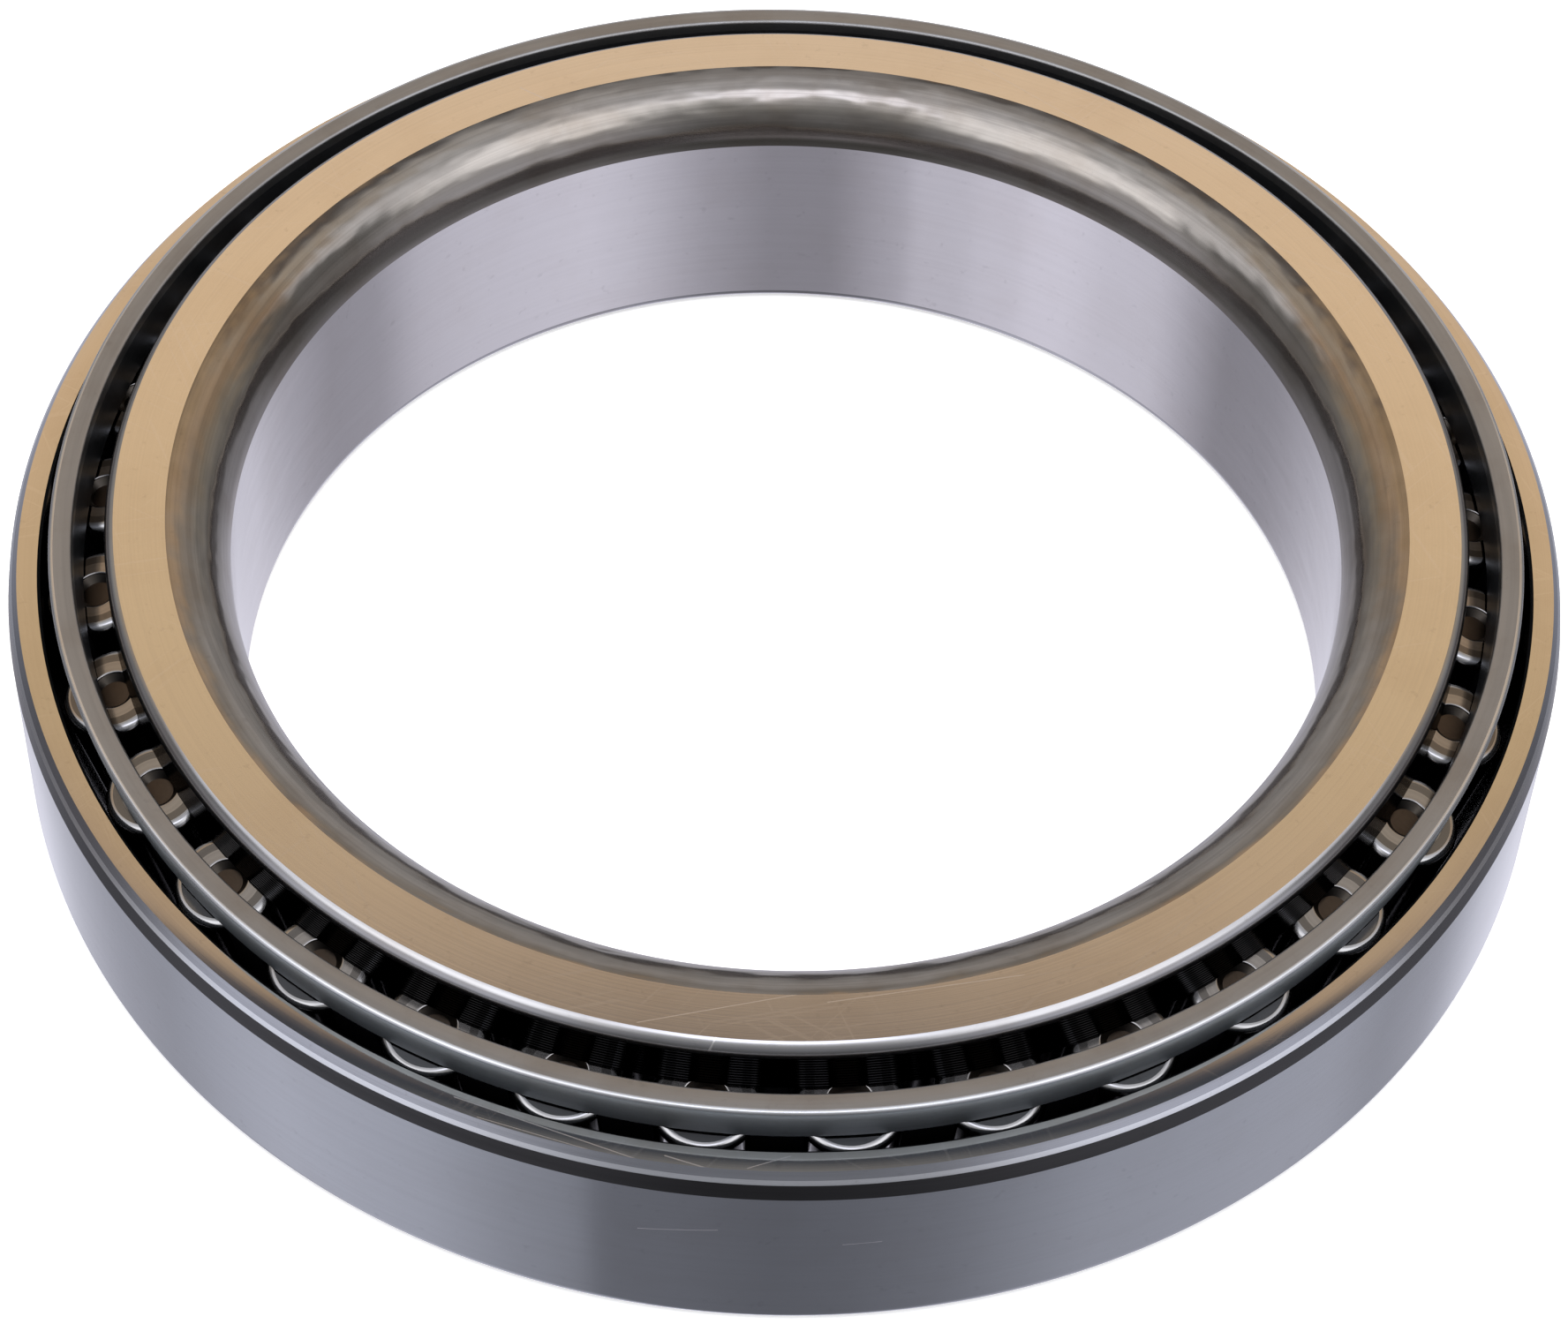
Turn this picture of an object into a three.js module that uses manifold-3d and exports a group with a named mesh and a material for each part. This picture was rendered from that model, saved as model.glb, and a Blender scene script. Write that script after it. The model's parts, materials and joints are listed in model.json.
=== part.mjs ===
// A single-row tapered roller bearing: cup (outer ring), cone (inner ring), pressed steel cage and
// a full set of tapered rollers. Millimetres, +Z up along the bearing axis, origin on the axis in
// the plane that the cup's back face and the cone's front face share.
//
// Every rolling surface is a cone whose tip is the one apex on the bearing axis, so that the rollers
// roll without sliding. Two coordinates describe a point in a roller's own plane: `along`, the
// distance from the apex along the roller axis, and `out`, the distance outwards from that axis.

import * as THREE from "three";
import { mergeVertices } from "three/addons/utils/BufferGeometryUtils.js";
import Module from "manifold-3d";

// Boundary dimensions
const BORE_R = 37.5;
const OUTSIDE_R = 52.5;
const ASSEMBLED_WIDTH = 20;
const CUP_WIDTH = 16;

// Rolling geometry
const CUP_ANGLE = THREE.MathUtils.degToRad(12.5);
const CUP_MOUTH_R = 50.2; // raceway radius in the plane of the cup's front face
const ROLLER_COUNT = 33;
const ROLLER_LARGE_R = 3.475;
const ROLLER_LENGTH = 13.2;
const FIRST_ROLLER_ANGLE = THREE.MathUtils.degToRad(3.6); // round the bearing from +X
const LARGE_END_Z = 14.9; // height at which the rollers' large ends meet the cup raceway

// Clearances
const ROLLING_GAP = 0.04; // between a roller and each raceway, square to the surface
const RIB_GAP = 0.05; // between a roller's large end and the cone's large rib
const SMALL_RIB_GAP = 0.3;
const POCKET_END_GAP = 0.22;
const POCKET_SIDE_GAP = 0.2;

// Cup. Its upper outer corner is two flats: a shallow one next to the face, then a steep one.
const CUP_FACE_FLAT = { radial: 0.55, axial: 0.75 };
const CUP_SIDE_FLAT = { radial: 0.2, axial: 1.3 };
const CUP_BACK_CORNER_R = 1.05;
const CUP_INNER_EDGE = 0.18;

// Cone
const RIB_R = 45.65;
const RIB_CHAMFER = { radial: 0.65, axial: 0.5 };
const SMALL_RIB_R = 41.5;
const SMALL_RIB_CHAMFER = 0.4;
const BACK_CORNER_R = 4.1; // the large fillet between the bore and the back face
const FRONT_CORNER = 1;
const RELIEF = { depth: 0.3, width: 0.9 }; // the groove at each end of the cone's raceway

// Cage
const CAGE_TOP_Z = 18.55;
const CAGE_TOP_R = 49.45; // the rim's outer edge
const CAGE_THICKNESS = 1.5;
const CAGE_EDGE = 0.2;
const FLANGE_Z = 0.6;
const FLANGE_INNER_R = 42.25;
const BEND_R = 1.9;

// Rollers
const LARGE_CHAMFER = 0.55;
const SMALL_CHAMFER = 0.35;
const RECESS = { mouthR: 1.45, floorR: 1.0, depth: 0.5 };

// Facets
const RING_SEGMENTS = 120;
const CAGE_SEGMENTS = 4 * ROLLER_COUNT;
const ROLLER_SEGMENTS = 20;
const BEND_STEPS = 3;
const BACK_CORNER_STEPS = 6;
const CUP_CORNER_STEPS = 3;

// Derived rolling geometry
const APEX_Z = CUP_WIDTH - CUP_MOUTH_R / Math.tan(CUP_ANGLE);
const LARGE_SLANT = (LARGE_END_Z - APEX_Z) / Math.cos(CUP_ANGLE);
const ROLLER_HALF_ANGLE = Math.asin(ROLLER_LARGE_R / LARGE_SLANT);
const AXIS_ANGLE = CUP_ANGLE - ROLLER_HALF_ANGLE;
const CONE_ANGLE = CUP_ANGLE - 2 * ROLLER_HALF_ANGLE;
const LARGE_ALONG = LARGE_SLANT * Math.cos(ROLLER_HALF_ANGLE);
const SMALL_ALONG = LARGE_ALONG - ROLLER_LENGTH;
const PITCH = (2 * Math.PI) / ROLLER_COUNT;

const wasm = await Module();
wasm.setup();

const steel = (color, roughness) => new THREE.MeshStandardMaterial({ color, roughness, metalness: 1 });
const materials = {
  cup: steel(0x9a9ba2, 0.25),
  cone: steel(0xa39a8f, 0.25),
  cage: steel(0x7f7b77, 0.4),
  roller: steel(0x8f9096, 0.15),
};

// A profile point from the roller plane's coordinates to radius and height.
function inPlane(along, out) {
  const r = along * Math.sin(AXIS_ANGLE) + out * Math.cos(AXIS_ANGLE);
  const z = APEX_Z + along * Math.cos(AXIS_ANGLE) - out * Math.sin(AXIS_ANGLE);
  return [r, z];
}

// Radius at height z of the raceway cone with this half-angle, moved outwards by gap.
function racewayR(z, angle, gap) {
  return (z - APEX_Z) * Math.tan(angle) + gap / Math.cos(angle);
}

// Height at which the plane square to the roller axis at `along` reaches radius r.
function planeZ(along, r) {
  const out = (r - along * Math.sin(AXIS_ANGLE)) / Math.cos(AXIS_ANGLE);
  return inPlane(along, out)[1];
}

// Height at which the plane square to the roller axis at `along` meets the roller's inner side.
function footZ(along) {
  return inPlane(along, -along * Math.tan(ROLLER_HALF_ANGLE))[1];
}

// Radius of the cage sheet's outer side at height z.
function cageR(z) {
  return CAGE_TOP_R - (CAGE_TOP_Z - z) * Math.tan(AXIS_ANGLE);
}

// Points on an elliptical arc, from angle a to angle b in radians, both ends included.
function arc(centreR, centreZ, radial, axial, a, b, steps) {
  return Array.from({ length: steps + 1 }, (_, i) => {
    const t = a + ((b - a) * i) / steps;
    return [centreR + radial * Math.cos(t), centreZ + axial * Math.sin(t)];
  });
}

// A solid of revolution about +Z. The profile runs anticlockwise, seen with radius to the right
// and height upwards, and a ring's profile closes on itself.
function revolve(profile, segments, closed = true) {
  const points = profile.map(([r, z]) => new THREE.Vector2(r, z));
  if (closed) points.push(points[0].clone());
  return new THREE.LatheGeometry(points, segments).rotateX(Math.PI / 2);
}

function toSolid(geometry) {
  const bare = geometry.clone().deleteAttribute("normal").deleteAttribute("uv");
  const merged = mergeVertices(bare, 1e-4);
  return new wasm.Manifold(
    new wasm.Mesh({
      numProp: 3,
      vertProperties: merged.attributes.position.array,
      triVerts: new Uint32Array(merged.index.array),
    }),
  );
}

function toGeometry(solid) {
  const mesh = solid.getMesh();
  const geometry = new THREE.BufferGeometry();
  geometry.setAttribute("position", new THREE.BufferAttribute(mesh.vertProperties, 3));
  geometry.setIndex(new THREE.BufferAttribute(mesh.triVerts, 1));
  geometry.computeVertexNormals();
  return geometry;
}

function cupProfile() {
  const edgeR = OUTSIDE_R - CUP_SIDE_FLAT.radial;
  const faceR = edgeR - CUP_FACE_FLAT.radial;
  const flatAxial = CUP_FACE_FLAT.axial;
  const sideAxial = flatAxial + CUP_SIDE_FLAT.axial;
  const gap = ROLLING_GAP + CUP_MOUTH_R * (1 - Math.cos(Math.PI / RING_SEGMENTS));
  const topZ = CUP_WIDTH;
  const corner = CUP_BACK_CORNER_R;
  return [
    ...arc(OUTSIDE_R - corner, corner, corner, corner, -Math.PI / 2, 0, CUP_CORNER_STEPS),
    [OUTSIDE_R, topZ - sideAxial],
    [edgeR, topZ - flatAxial],
    [faceR, topZ],
    [racewayR(topZ, CUP_ANGLE, gap) + CUP_INNER_EDGE, topZ],
    [racewayR(topZ - CUP_INNER_EDGE, CUP_ANGLE, gap), topZ - CUP_INNER_EDGE],
    [racewayR(CUP_INNER_EDGE, CUP_ANGLE, gap), CUP_INNER_EDGE],
    [racewayR(0, CUP_ANGLE, gap) + CUP_INNER_EDGE, 0],
  ];
}

function coneProfile() {
  const { depth, width } = RELIEF;
  const race = (z) => racewayR(z, CONE_ANGLE, -ROLLING_GAP);
  const largeFace = LARGE_ALONG + RIB_GAP;
  const smallFace = SMALL_ALONG - SMALL_RIB_GAP;
  const ribFootZ = footZ(largeFace);
  const smallFootZ = footZ(smallFace);
  const ribReliefR = race(ribFootZ) - depth;
  const smallReliefR = race(smallFootZ) - depth;
  const topZ = ASSEMBLED_WIDTH;
  const fillet = BACK_CORNER_R;
  const filletR = BORE_R + fillet;
  return [
    [BORE_R + FRONT_CORNER, 0],
    [SMALL_RIB_R - SMALL_RIB_CHAMFER, 0],
    [SMALL_RIB_R, SMALL_RIB_CHAMFER],
    [SMALL_RIB_R, planeZ(smallFace, SMALL_RIB_R)],
    [smallReliefR, planeZ(smallFace, smallReliefR)],
    [race(smallFootZ + width), smallFootZ + width],
    [race(ribFootZ - width), ribFootZ - width],
    [ribReliefR, planeZ(largeFace, ribReliefR)],
    [RIB_R, planeZ(largeFace, RIB_R)],
    [RIB_R, topZ - RIB_CHAMFER.axial],
    [RIB_R - RIB_CHAMFER.radial, topZ],
    ...arc(filletR, topZ - fillet, fillet, fillet, Math.PI / 2, Math.PI, BACK_CORNER_STEPS),
    [BORE_R, FRONT_CORNER],
  ];
}

function cageProfile() {
  const across = CAGE_THICKNESS / Math.cos(AXIS_ANGLE);
  const inner = (z) => cageR(z) - across;
  const flangeTop = FLANGE_Z + CAGE_THICKNESS;
  const bendZ = FLANGE_Z + BEND_R;
  const bendR = cageR(bendZ) - BEND_R;
  const edgeZ = CAGE_TOP_Z - CAGE_EDGE;
  return [
    [FLANGE_INNER_R, FLANGE_Z],
    ...arc(bendR, bendZ, BEND_R, BEND_R, -Math.PI / 2, -AXIS_ANGLE, BEND_STEPS),
    [cageR(edgeZ), edgeZ],
    [CAGE_TOP_R - CAGE_EDGE, CAGE_TOP_Z],
    [inner(CAGE_TOP_Z), CAGE_TOP_Z],
    [inner(flangeTop + CAGE_EDGE), flangeTop + CAGE_EDGE],
    [inner(flangeTop) - CAGE_EDGE, flangeTop],
    [FLANGE_INNER_R, flangeTop],
  ];
}

// The hole that one roller sits in: a wedge whose sides lean in around the roller's outer half, so
// that the roller can't drop out through it. It narrows towards the apex as the roller does.
function pocketGeometry() {
  const [axisR, axisZ] = inPlane(LARGE_ALONG, 0);
  const wallOut = (cageR(axisZ) - axisR) * Math.cos(AXIS_ANGLE);
  const wallIn = wallOut - CAGE_THICKNESS;
  const reach = 1.5; // the cutter passes this far beyond both sides of the wall
  const wallMiddle = (wallIn + wallOut) / 2;
  const halfAt = (out) => Math.sqrt(ROLLER_LARGE_R ** 2 - out ** 2);
  const lean = wallMiddle / halfAt(wallMiddle);
  const half = (out) =>
    halfAt(wallMiddle) + POCKET_SIDE_GAP * Math.hypot(1, lean) - lean * (out - wallMiddle);
  const low = wallIn - reach;
  const high = wallOut + reach;
  const outline = new THREE.Shape([
    new THREE.Vector2(-half(low), low),
    new THREE.Vector2(half(low), low),
    new THREE.Vector2(half(high), high),
    new THREE.Vector2(-half(high), high),
  ]);
  const start = SMALL_ALONG - POCKET_END_GAP;
  const depth = LARGE_ALONG + POCKET_END_GAP - start;
  const geometry = new THREE.ExtrudeGeometry(outline, { depth, bevelEnabled: false });
  geometry.translate(0, 0, start);
  const position = geometry.attributes.position;
  for (let i = 0; i < position.count; i++)
    position.setX(i, (position.getX(i) * position.getZ(i)) / LARGE_ALONG);
  return geometry;
}

// Turns from a roller's own frame (x round the bearing, y outwards, z along the roller axis from the
// apex) to the bearing's frame, for the roller at this angle round the bearing.
function rollerFrame(angle) {
  const tangent = new THREE.Vector3(Math.sin(angle), -Math.cos(angle), 0);
  const axis = new THREE.Vector3(
    Math.sin(AXIS_ANGLE) * Math.cos(angle),
    Math.sin(AXIS_ANGLE) * Math.sin(angle),
    Math.cos(AXIS_ANGLE),
  );
  const outwards = new THREE.Vector3().crossVectors(axis, tangent);
  return new THREE.Matrix4().makeBasis(tangent, outwards, axis).setPosition(0, 0, APEX_Z);
}

function cageGeometry() {
  const ring = toSolid(revolve(cageProfile(), CAGE_SEGMENTS));
  const pocket = pocketGeometry();
  const pockets = Array.from({ length: ROLLER_COUNT }, (_, i) =>
    toSolid(pocket.clone().applyMatrix4(rollerFrame(i * PITCH))),
  );
  return toGeometry(pockets.reduce((cage, cutter) => cage.subtract(cutter), ring));
}

function rollerGeometry() {
  const radiusAt = (along) => along * Math.tan(ROLLER_HALF_ANGLE);
  const { mouthR, floorR, depth } = RECESS;
  const profile = [
    [0, SMALL_ALONG],
    [radiusAt(SMALL_ALONG) - SMALL_CHAMFER, SMALL_ALONG],
    [radiusAt(SMALL_ALONG + SMALL_CHAMFER), SMALL_ALONG + SMALL_CHAMFER],
    [radiusAt(LARGE_ALONG - LARGE_CHAMFER), LARGE_ALONG - LARGE_CHAMFER],
    [radiusAt(LARGE_ALONG) - LARGE_CHAMFER, LARGE_ALONG],
    [mouthR, LARGE_ALONG],
    [floorR, LARGE_ALONG - depth],
    [0, LARGE_ALONG - depth],
  ];
  return revolve(profile, ROLLER_SEGMENTS, false);
}

function add(parent, name, geometry, material) {
  const mesh = new THREE.Mesh(geometry, material);
  mesh.name = name;
  parent.add(mesh);
  return mesh;
}

const bearing = new THREE.Group();
add(bearing, "cup_outer_ring", revolve(cupProfile(), RING_SEGMENTS), materials.cup);
add(bearing, "cone_inner_ring", revolve(coneProfile(), RING_SEGMENTS), materials.cone);

const rollerSet = new THREE.Group();
rollerSet.rotation.z = FIRST_ROLLER_ANGLE;
bearing.add(rollerSet);
add(rollerSet, "cage", cageGeometry(), materials.cage);
const roller = rollerGeometry();
for (let i = 0; i < ROLLER_COUNT; i++) {
  const number = String(i + 1).padStart(2, "0");
  add(rollerSet, `roller_${number}`, roller, materials.roller).applyMatrix4(rollerFrame(i * PITCH));
}

export default bearing;
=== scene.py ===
"""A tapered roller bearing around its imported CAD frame: finished rings, cage and rollers, the steel
they are made of, and a pale studio. Metres, +Z up along the bearing axis; shape sizes are in mm."""

import json
import math
import random

import bmesh
import bpy
from mathutils import Matrix, Vector


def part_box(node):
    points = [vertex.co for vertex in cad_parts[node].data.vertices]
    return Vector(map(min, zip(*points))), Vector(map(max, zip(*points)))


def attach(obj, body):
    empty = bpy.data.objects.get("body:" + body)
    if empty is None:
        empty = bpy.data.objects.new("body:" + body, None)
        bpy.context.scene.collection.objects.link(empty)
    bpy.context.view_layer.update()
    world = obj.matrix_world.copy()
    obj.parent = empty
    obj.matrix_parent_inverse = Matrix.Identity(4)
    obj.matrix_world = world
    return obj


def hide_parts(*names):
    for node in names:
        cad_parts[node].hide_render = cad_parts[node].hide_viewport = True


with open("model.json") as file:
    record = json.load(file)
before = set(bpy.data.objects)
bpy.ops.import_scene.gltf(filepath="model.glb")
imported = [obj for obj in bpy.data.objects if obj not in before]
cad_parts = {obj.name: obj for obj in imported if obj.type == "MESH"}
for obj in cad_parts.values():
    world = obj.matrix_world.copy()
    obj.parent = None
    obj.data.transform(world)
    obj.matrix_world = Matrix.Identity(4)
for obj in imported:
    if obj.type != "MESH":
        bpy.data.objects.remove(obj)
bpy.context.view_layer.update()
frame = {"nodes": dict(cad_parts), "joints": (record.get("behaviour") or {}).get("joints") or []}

MM = 0.001
CUP = "cup_outer_ring"
CONE = "cone_inner_ring"
CAGE = "cage"
ROLLERS = sorted(n for n in frame["nodes"] if n.startswith("roller_"))
JOINTS = {j["child"]: j for j in frame["joints"]}


def radii(node):
    """Smallest and largest distance of a CAD node's corners from the bearing axis, in mm."""
    distances = [math.hypot(v.co.x, v.co.y) / MM for v in frame["nodes"][node].data.vertices]
    return min(distances), max(distances)


def heights(node):
    """Lowest and highest level of a CAD node, in mm."""
    low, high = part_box(node)
    return low.z / MM, high.z / MM


# Sizes that the frame holds
BORE_R, RIB_R = radii(CONE)
OUTSIDE_R = radii(CUP)[1]
CUP_TOP = heights(CUP)[1]
CONE_TOP = heights(CONE)[1]
CAGE_LOW, CAGE_TOP = heights(CAGE)
FLANGE_R, CAGE_TOP_R = radii(CAGE)

# The rollers' common geometry: their axes meet in one apex on the bearing axis. A point in a
# roller's own plane has two coordinates: `along` from the apex on the roller axis, `out` from it.
FIRST = JOINTS[ROLLERS[0]]
TILT = math.atan2(math.hypot(FIRST["axis"][0], FIRST["axis"][1]), FIRST["axis"][2])
APEX_Z = FIRST["pos_m"][2] / MM - math.hypot(*FIRST["pos_m"][:2]) / MM / math.tan(TILT)


def roller_ends():
    """Distances of a roller's two ends from the apex, and the tangent of its half angle."""
    axis = Vector(FIRST["axis"]).normalized()
    apex = Vector((0, 0, APEX_Z))
    spots = []
    for vertex in frame["nodes"][ROLLERS[0]].data.vertices:
        arm = vertex.co / MM - apex
        along = arm.dot(axis)
        spots.append((along, (arm - axis * along).length))
    small = min(s[0] for s in spots)
    large = max(s[0] for s in spots)
    slope = max(out / along for along, out in spots)
    return small, large, slope


SMALL_END, LARGE_END, HALF_SLOPE = roller_ends()
HALF_ANGLE = math.atan(HALF_SLOPE)

# Sizes that the finish adds
GAP = 0.03  # between a roller and each raceway
RIB_GAP = 0.05  # between a roller's large end and the cone's large rib
SMALL_RIB_GAP = 0.3
RING_STEPS = 288
ROLLER_STEPS = 56
SHEET = 1.5
RIM_SHEET = 1.58  # the sheet is upset a little along its rim
RIM_LIP = 0.12  # what the rounded rim rises above the CAD rim
RIM_OUTER_ROUND = 0.33
RIM_INNER_ROUND = 0.25
BEND = 1.9  # outer radius of the bend into the flange
POCKET_END_GAP = 0.22
POCKET_SIDE_GAP = 0.2
SHARP_ANGLE = math.radians(35)  # edges that turn more than this stay crisp
BEVEL_ANGLE = math.radians(40)  # edges that turn more than this are rounded

# Materials of the cage's surfaces, by the kind of row that they belong to. The pocket rows are painted
# near black as painted shade, and the low rows and the inner wall take a darker copy of the sheet as
# painted shade.
CAGE_ZONES = ("cage_shade", "cage_rim", "cage_edge", "cage", "cage_inside")
CAGE_OUTSIDE = {"round": "cage_edge", "turn": "cage", "rim": "cage", "pocket": "cage_shade",
                "low": "cage_inside"}
CAGE_INSIDE = {"round": "cage_rim", "turn": "cage_rim", "rim": "cage_inside",
               "pocket": "cage_shade", "low": "cage_inside"}


def in_plane(along, out):
    """Radius and height of a point given in a roller's own plane."""
    r = along * math.sin(TILT) + out * math.cos(TILT)
    z = APEX_Z + along * math.cos(TILT) - out * math.sin(TILT)
    return r, z


def to_plane(r, z):
    """The `along` and `out` of the point at this radius and height."""
    along = r * math.sin(TILT) + (z - APEX_Z) * math.cos(TILT)
    out = r * math.cos(TILT) - (z - APEX_Z) * math.sin(TILT)
    return along, out


def race_r(z, side):
    """Radius at height z of the raceway on the rollers' outer (side 1) or inner (side -1) side."""
    angle = TILT + side * HALF_ANGLE
    return (z - APEX_Z) * math.tan(angle) + side * GAP / math.cos(angle)


def square_z(along, r):
    """Height at which the plane square to a roller's axis at `along` reaches radius r."""
    out = (r - along * math.sin(TILT)) / math.cos(TILT)
    return in_plane(along, out)[1]


def arc(centre, size, start, end, steps):
    """Points on an elliptical arc between two angles in degrees, both ends included."""
    points = []
    for i in range(steps + 1):
        t = math.radians(start + (end - start) * i / steps)
        points.append((centre[0] + size[0] * math.cos(t), centre[1] + size[1] * math.sin(t)))
    return points


def supported(points):
    """A straight run with a point close to each end, so that smooth shading stays flat on it."""
    margin = 0.05
    (r0, z0), (r1, z1) = points
    length = math.hypot(r1 - r0, z1 - z0)
    if length < 4 * margin:
        return points
    t = margin / length
    near = (r0 + (r1 - r0) * t, z0 + (z1 - z0) * t)
    far = (r1 - (r1 - r0) * t, z1 - (z1 - z0) * t)
    return [points[0], near, far, points[1]]


def lathe(name, runs, steps, materials, closed=True):
    """A turned piece. Each run is (material index, points), starting where the one before ends.
    A closed profile comes back to its first point; an open one starts and ends on the axis."""
    profile, zones = [], []
    for zone, points in runs:
        if len(points) == 2:
            points = supported(points)
        start = 1 if profile else 0
        profile += points[start:]
        zones += [zone] * (len(points) - 1)
    if closed:
        profile.pop()
    bm = bmesh.new()
    rings = []
    for r, z in profile:
        if r < 1e-6:
            rings.append([bm.verts.new((0, 0, z * MM))] * steps)
            continue
        ring = []
        for i in range(steps):
            t = 2 * math.pi * i / steps
            ring.append(bm.verts.new((r * math.cos(t) * MM, r * math.sin(t) * MM, z * MM)))
        rings.append(ring)
    for k, zone in enumerate(zones):
        lower = rings[k]
        upper = rings[(k + 1) % len(rings)]
        for i in range(steps):
            j = (i + 1) % steps
            corners = list(dict.fromkeys((lower[i], lower[j], upper[j], upper[i])))
            face = bm.faces.new(corners)
            face.material_index = zone
            face.smooth = True
    mesh = finish_mesh(name, bm, materials)
    sharpen_zone_borders(mesh)
    return mesh


def sharpen_zone_borders(mesh):
    """Two neighbouring surfaces of a turned piece meet in a crisp line."""
    zones_beside = {}
    for face in mesh.polygons:
        for edge in face.edge_keys:
            zones_beside.setdefault(edge, set()).add(face.material_index)
    for edge in mesh.edges:
        if len(zones_beside[edge.key]) > 1:
            edge.use_edge_sharp = True


def finish_mesh(name, bm, materials):
    """Turns a bmesh into a mesh with its materials, with its faces out and its edges crisp."""
    bmesh.ops.recalc_face_normals(bm, faces=bm.faces)
    mesh = bpy.data.meshes.new(name)
    bm.to_mesh(mesh)
    bm.free()
    mesh.set_sharp_from_angle(angle=SHARP_ANGLE)
    for material in materials:
        mesh.materials.append(material)
    return mesh


def place(name, mesh, body, node, matrix=None):
    """Puts a finished mesh where its CAD node is, on the node's body."""
    piece = bpy.data.objects.new(name, mesh)
    bpy.context.scene.collection.objects.link(piece)
    if matrix is not None:
        piece.matrix_world = matrix
    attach(piece, body)
    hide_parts(node)
    return piece


# ---------------------------------------------------------------- materials

STAIN_TINT = (0.6, 0.5, 0.4)  # what a stain leaves of the steel's colour
DARK_SHARE = 0.3  # what the lines and spots leave of it
SCRATCH_COLOUR = (0.92, 0.9, 0.9)
SCRATCH_ANGLES = (0.5, 1.15, 2.3, 2.9)


class Nodes:
    """Short ways to add shader nodes to one material or world."""

    def __init__(self, tree):
        self.tree = tree
        tree.nodes.clear()

    def add(self, kind, inputs=None, **settings):
        node = self.tree.nodes.new(kind)
        for key, value in settings.items():
            setattr(node, key, value)
        for key, value in (inputs or {}).items():
            self.put(node.inputs[key], value)
        return node

    def put(self, socket, value):
        if isinstance(value, bpy.types.NodeSocket):
            self.tree.links.new(value, socket)
        else:
            socket.default_value = value

    def math(self, operation, a, b=0.0, c=0.0, clamp=False):
        node = self.add("ShaderNodeMath", {0: a, 1: b, 2: c}, operation=operation)
        node.use_clamp = clamp
        return node.outputs[0]

    def noise(self, vector, scale, detail, roughness):
        node = self.add(
            "ShaderNodeTexNoise",
            {"Vector": vector, "Scale": scale, "Detail": detail, "Roughness": roughness},
        )
        return node.outputs["Fac"]

    def stretch(self, value, low, high):
        """0 at low, 1 at high, and a smooth change between them."""
        node = self.add("ShaderNodeMapRange", {0: value, 1: low, 2: high, 3: 0.0, 4: 1.0},
                        interpolation_type="SMOOTHSTEP")
        return node.outputs[0]

    def ramp(self, value, stops):
        """Colours that change along value, given as (position, colour) stops."""
        node = self.add("ShaderNodeValToRGB", {"Fac": value})
        elements = node.color_ramp.elements
        while len(elements) < len(stops):
            elements.new(0.5)
        for element, (position, colour) in zip(elements, stops):
            element.position = position
            element.color = (*colour, 1.0)
        return node.outputs["Color"]

    def mix(self, factor, a, b):
        node = self.add("ShaderNodeMix", data_type="RGBA", blend_type="MIX")
        self.put(node.inputs["Factor"], factor)
        self.put(node.inputs["A"], a if isinstance(a, bpy.types.NodeSocket) else (*a, 1.0))
        self.put(node.inputs["B"], b if isinstance(b, bpy.types.NodeSocket) else (*b, 1.0))
        return node.outputs["Result"]

    def vector(self, x, y, z):
        return self.add("ShaderNodeCombineXYZ", {0: x, 1: y, 2: z}).outputs[0]


def round_coordinates(n, radius):
    """Coordinates in mm that wrap round the axis without a seam: the point itself, its direction
    from the axis on a circle of this radius, its distance from the axis and its height."""
    point = n.add("ShaderNodeTexCoord").outputs["Object"]
    in_mm = n.add("ShaderNodeVectorMath", {0: point, "Scale": 1 / MM}, operation="SCALE").outputs[0]
    x, y, height = n.add("ShaderNodeSeparateXYZ", {0: in_mm}).outputs[:3]
    flat = n.vector(x, y, 0.0)
    across = n.add("ShaderNodeVectorMath", {0: flat}, operation="LENGTH").outputs["Value"]
    unit = n.add("ShaderNodeVectorMath", {0: flat}, operation="NORMALIZE").outputs[0]
    ring = n.add("ShaderNodeVectorMath", {0: unit, "Scale": radius}, operation="SCALE").outputs[0]
    return in_mm, ring, across, height


def streaks(n, ring, across, height, grain, detail=3.0, roughness=0.7):
    """Noise drawn out round the axis. grain is its fineness per mm round the axis, away from it
    and along it."""
    x, y, _ = n.add("ShaderNodeSeparateXYZ", {0: ring}).outputs[:3]
    at = n.vector(
        n.math("MULTIPLY", x, grain[0]),
        n.math("MULTIPLY", y, grain[0]),
        n.math("MULTIPLY", across, grain[1]),
    )
    node = n.add(
        "ShaderNodeTexNoise",
        {"Vector": at, "W": n.math("MULTIPLY", height, grain[2]), "Scale": 1.0,
         "Detail": detail, "Roughness": roughness},
        noise_dimensions="4D",
    )
    return node.outputs["Fac"]


def scratch_layer(n, point, seed, angle):
    """Long fine straight scratches in one direction, broken up by a slow noise."""
    turned = n.add(
        "ShaderNodeMapping",
        {"Vector": point, "Location": (seed, seed * 0.37, 0), "Rotation": (0, 0, angle)},
    ).outputs[0]
    drawn_out = n.add(
        "ShaderNodeVectorMath", {0: turned, 1: (0.03, 3.2, 0.0)}, operation="MULTIPLY"
    ).outputs[0]
    lines = n.noise(drawn_out, 1.0, 1.0, 0.5)
    patches = n.noise(point, 0.12 + 0.01 * seed, 2.0, 0.5)
    thin = n.stretch(lines, 0.64, 0.68)
    return n.math("MULTIPLY", thin, n.stretch(patches, 0.48, 0.6))


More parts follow.
